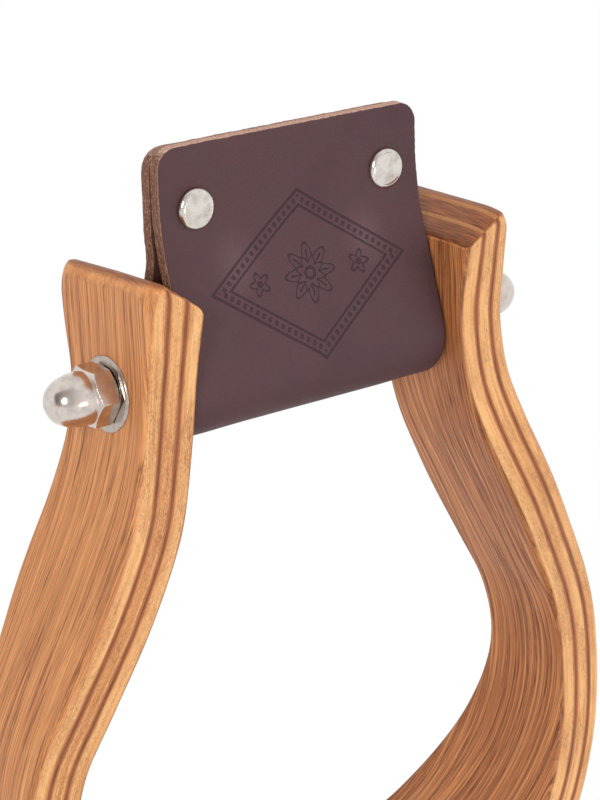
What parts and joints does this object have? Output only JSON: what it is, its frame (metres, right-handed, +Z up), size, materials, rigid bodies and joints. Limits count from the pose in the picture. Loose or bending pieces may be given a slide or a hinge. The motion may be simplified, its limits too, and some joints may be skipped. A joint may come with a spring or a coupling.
{
  "type": "wooden stirrup",
  "caption": "Western riding stirrup: a bell of bent laminated oak, a cross bolt with a roller in a riveted leather cover at its neck, and a leather pad on its tread.",
  "frame": {"origin": "centre of the tread's flat underside, on the surface the stirrup stands on", "axes": "+X along the bolt to the rider's right-hand arm of the stirrup as seen in the picture, +Y to the back, +Z up"},
  "size_m": [0.178, 0.0508, 0.2175],
  "materials": {
    "oak_ply": "clear satin lacquer",
    "oak_crossband": "clear satin lacquer over end grain",
    "plated_steel": "bright plated",
    "spacer_steel": "as drawn",
    "roller_nylon": "turned",
    "oxblood_leather": "waxed, smooth grain side",
    "rivet_nickel": "nickel plated",
    "tack_brass": "brass plated"
  },
  "bodies": {
    "wood_frame": {"outer_ply": "oak_ply", "core_ply": "oak_ply", "inner_ply": "oak_ply", "outer_crossband": "oak_crossband", "inner_crossband": "oak_crossband", "bolt": "plated_steel", "left_washer": "plated_steel", "right_washer": "plated_steel", "left_cap_nut": "plated_steel", "right_cap_nut": "plated_steel", "spacer_sleeve": "spacer_steel", "tread_pad": "oxblood_leather", "tread_tack_1": "tack_brass", "tread_tack_2": "tack_brass", "tread_tack_3": "tack_brass", "tread_tack_4": "tack_brass", "tread_tack_5": "tack_brass", "tread_tack_6": "tack_brass"},
    "roller": {"roller": "roller_nylon"},
    "cover": {"leather_cover": "oxblood_leather", "left_rivet_post": "rivet_nickel", "left_rivet_cap": "rivet_nickel", "right_rivet_post": "rivet_nickel", "right_rivet_cap": "rivet_nickel"}
  },
  "joints": [
    {"name": "roller_spin", "type": "hinge", "parent": "wood_frame", "child": "roller", "pos_m": [0, 0, 0.16442], "axis": [1, 0, 0], "continuous": true},
    {"name": "cover_swing", "type": "hinge", "parent": "wood_frame", "child": "cover", "pos_m": [0, 0, 0.16442], "axis": [1, 0, 0], "continuous": true}
  ]
}
